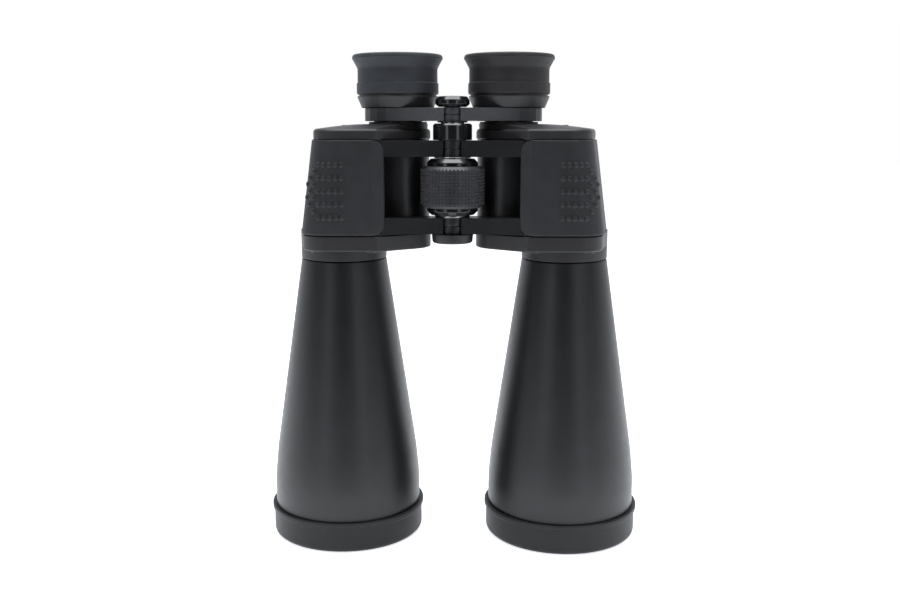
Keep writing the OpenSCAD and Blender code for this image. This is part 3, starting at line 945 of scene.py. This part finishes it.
def focus_wheel():
    hub = "focus_wheel_hub"
    bottom, top = low(hub).z, high(hub).z
    ring_r = radius(hub)
    drum_r = ring_r - 0.9
    ring_h = 4.2
    piece(hub, lathe(hinge, [
        (SPINDLE_BORE, bottom, 0.2),
        (ring_r - 3.4, bottom, 0.3),
        (ring_r - 2.0, bottom + 0.2, 0.4),
        (ring_r, bottom + 2.2, 0.7),
        (ring_r, bottom + ring_h, 0.3),
        (drum_r, bottom + ring_h, 0),
        (drum_r, top - ring_h, 0),
        (ring_r, top - ring_h, 0.3),
        (ring_r, top - 2.2, 0.7),
        (ring_r - 2.0, top - 0.2, 0.4),
        (ring_r - 3.4, top, 0.3),
        (SPINDLE_BORE, top, 0.2),
    ], 128, 5), hub)

    grip = "focus_wheel_grip"
    bottom, top = low(grip).z, high(grip).z
    grip_r = radius(grip)
    base_r, tooth = grip_r - 0.55, 0.55
    columns, rows = 54, 11
    margin = 1.6
    pitch_z = (top - bottom - 2 * margin) / rows
    across = [(0.0, 0.0), (0.22, 0.0), (0.36, 1.0), (0.86, 1.0)]
    levels = [(bottom, drum_r), (bottom, base_r - 1.2), (bottom + margin * 0.8, base_r)]
    up = []
    for j in range(rows):
        start = bottom + margin + pitch_z * j
        up += [(start + pitch_z * s, t) for s, t in across]
    angles = [(i + s, t) for i in range(columns) for s, t in across]

    def band(z, r, rise=0.0):
        """Ring at height z with radius r, raised by rise where there is a stud."""
        return [
            (*(Vector(hinge) + (r + rise * u) * turn(360 * a / columns)), z)
            for a, u in angles
        ]

    rings = [band(z, r) for z, r in levels]
    rings += [band(z, base_r, tooth * t) for z, t in up]
    for z, r in ((top - margin * 0.8, base_r), (top, base_r - 1.2), (top, drum_r)):
        rings.append(band(z, r))
    piece(grip, loft(rings, closed=True), grip, 20)


# ---- eyepieces ----


def eyepiece(side):
    bore_r, ring_bore = 12.2, 17.7
    barrel = f"{side}_eyepiece_barrel"
    bottom, top = low(barrel).z, high(barrel).z
    bridge_low = low(f"{side}_bridge_arm").z
    piece(barrel, mirrored(side, lathe(eye, [
        (bore_r, bottom, 0.2),
        (13.6, bottom, 0.3),
        (13.6, bridge_low, 0),
        (15.8, bridge_low, 0.3),
        (15.8, top, 0.2),
        (bore_r, top, 0.2),
    ])), barrel)

    ocular = "left_ocular_ring" if side == LEFT else "right_diopter_ring"
    bottom, top = low(ocular).z, high(ocular).z
    ring_r = radius(ocular)
    piece(ocular, mirrored(side, lathe(eye, [
        (ring_bore, bottom, 0.2),
        (20.0, bottom, 0.5),
        (ring_r - 0.25, top - 2.1, 0.4),
        (ring_r, top - 1.6, 0.2),
        (ring_r, top - 0.9, 0.2),
        (21.5, top - 0.9, 0),
        (21.5, top, 0.1),
        (ring_bore, top, 0.2),
    ], 144)), ocular, 24)

    cell = f"{side}_eyepiece_cell"
    bottom, top = low(cell).z, high(cell).z
    cell_r = radius(cell)
    steps = [(10.5 + 0.5 * i, top - 3 + i, 0.15) for i in range(3, -1, -1)]
    piece(cell, mirrored(side, lathe(eye, [
        (bore_r, bottom, 0.2),
        (cell_r, bottom, 0.2),
        (cell_r, top - 1, 0.3),
        (cell_r - 1, top, 0.3),
        (13, top, 0.3),
        *steps,
        (10.5, top - 9, 0),
        (bore_r, top - 11, 0),
    ])), cell)

    cup = f"{side}_eyecup"
    bottom, top = low(cup).z, high(cup).z
    lip_r = radius(cup)
    floor = high(cell).z
    piece(cup, mirrored(side, lathe(eye, [
        (cell_r + 0.02, bottom + 1, 0),
        (21.7, bottom + 1, 0),
        (21.7, bottom, 0.1),
        (22.3, bottom, 0.2),
        (22.75, bottom + 0.7, 0.3),
        (22.75, bottom + 5.9, 0.35),
        (22.2, bottom + 6.4, 0.15),
        (22.15, top - 7.5, 4.0),
        (lip_r - 0.7, top - 3.2, 1.2),
        (lip_r, top - 2.2, 0.9),
        (lip_r - 0.5, top, 1.4),
        (lip_r - 4.2, top, 2.2),
        (19.0, floor + 4.5, 3.0),
        (17.2, floor + 1.2, 1.2),
        (14.5, floor + 0.05, 0.3),
        (cell_r - 1, floor + 0.05, 0),
        (cell_r + 0.02, floor - 1, 0),
    ], 160, 6)), cup, 26)


# ---- everything ----


def build():
    for side in SIDES:
        objective_tube(side)
        objective_cap(side)
        objective_cell(side)
        lens(f"{side}_front_lens", objective, 2.2, 2.6, side)
        lens(f"{side}_eye_lens", eye, 1.2, 1.0, side)
        top_cover(side)
        bottom_cover(side)
        prism_housing(side)
        body_armour(side)
        eyepiece(side)
        for part in ("upper_arm", "lower_arm", "bridge_arm"):
            keep_node(f"{side}_{part}", 0.35)
        for part in ("cover_screws", "rear_lens", "lens_retainer", "prism_shelf", "upper_prism"):
            keep_node(f"{side}_{part}", 0.15)
        for part in ("lower_prism", "prism_clips", "field_lens", "field_stop"):
            keep_node(f"{side}_{part}", 0.15)
    hinge_pieces()
    focus_wheel()
    keep_node("hinge_washers", 0.1)


def studio():
    """Pale floor, soft lights, and surroundings that are white behind and dimmer in front."""
    bpy.context.scene.view_settings.view_transform = "Standard"
    mesh = bpy.data.meshes.new("floor")
    size, front = 6.0, -0.4
    corners = [(-size, front, 0), (size, front, 0), (size, size, 0), (-size, size, 0)]
    mesh.from_pydata(corners, [], [(0, 1, 2, 3)])
    look = Look("floor", Roughness=0.85)
    look.colours(look.noise(400, 2), (0.9, 0.9, 0.9), (0.93, 0.93, 0.93))
    look.bump(look.noise(3, 2), 0.05, 0.05)
    look.shader.inputs["Emission Color"].default_value = (0.93, 0.96, 1, 1)
    look.shader.inputs["Emission Strength"].default_value = 0.75
    mesh.materials.append(look.material)
    floor = bpy.data.objects.new("floor", mesh)
    bpy.context.scene.collection.objects.link(floor)

    world = bpy.data.worlds.new("surroundings")
    bpy.context.scene.world = world
    world.use_nodes = True
    nodes, links = world.node_tree.nodes, world.node_tree.links
    backdrop = nodes["Background"]
    backdrop.inputs["Color"].default_value = (1, 1, 1, 1)
    backdrop.inputs["Strength"].default_value = 1.0
    room = nodes.new("ShaderNodeBackground")
    room.inputs["Color"].default_value = (0.92, 0.96, 1.0, 1)
    direction = nodes.new("ShaderNodeTexCoord")
    parts = nodes.new("ShaderNodeSeparateXYZ")
    fade = nodes.new("ShaderNodeMapRange")
    fade.inputs["From Min"].default_value = -0.3
    fade.inputs["From Max"].default_value = 0.8
    fade.inputs["To Min"].default_value = 0.05
    fade.inputs["To Max"].default_value = 1.0
    links.new(direction.outputs["Generated"], parts.inputs["Vector"])
    links.new(parts.outputs["Y"], fade.inputs["Value"])
    links.new(fade.outputs["Result"], room.inputs["Strength"])
    seen = nodes.new("ShaderNodeLightPath")
    choose = nodes.new("ShaderNodeMixShader")
    links.new(seen.outputs["Is Camera Ray"], choose.inputs["Fac"])
    links.new(room.outputs["Background"], choose.inputs[1])
    links.new(backdrop.outputs["Background"], choose.inputs[2])
    links.new(choose.outputs["Shader"], nodes["World Output"].inputs["Surface"])

    def softbox(name, place, size, power):
        light = bpy.data.lights.new(name, "AREA")
        light.shape = "RECTANGLE"
        light.size, light.size_y = size
        light.energy = power
        light.color = (0.93, 0.96, 1.0)
        lamp = bpy.data.objects.new(name, light)
        lamp.location = place
        aim = Vector((0, 0, 0.14)) - Vector(place)
        lamp.rotation_euler = aim.to_track_quat("-Z", "Y").to_euler()
        bpy.context.scene.collection.objects.link(lamp)

    softbox("overhead", (0, 0.0, 1.5), (1.4, 1.0), 36)
    softbox("low_left", (-0.6, -1.0, 0.2), (0.25, 0.5), 0.8)
    softbox("low_right", (0.6, -1.0, 0.2), (0.25, 0.5), 0.8)
    softbox("front_left", (-1.0, -1.1, 0.9), (0.7, 0.9), 3)
    softbox("front_right", (1.1, -1.0, 0.8), (0.7, 0.9), 3)


# The camera's place in metres, with its distance in front of the objectives' axes, and its
# downward tilt and its turn to the left in degrees.
CAMERA_X = 0.01311
CAMERA_AWAY = 0.58511
CAMERA_Z = 0.240655
CAMERA_TILT = 9.713
CAMERA_TURN = 1.51


def camera():
    """The photograph's view: a little above, and slightly to the right of the middle."""
    data = bpy.data.cameras.new("camera")
    data.lens = 40
    data.sensor_width = 36
    data.clip_start = 0.01
    made = bpy.data.objects.new("camera", data)
    made.location = (CAMERA_X, objective.y * MM - CAMERA_AWAY, CAMERA_Z)
    made.rotation_euler = (math.radians(90 - CAMERA_TILT), 0, math.radians(CAMERA_TURN))
    bpy.context.scene.collection.objects.link(made)
    bpy.context.scene.camera = made


camera()
build()
studio()
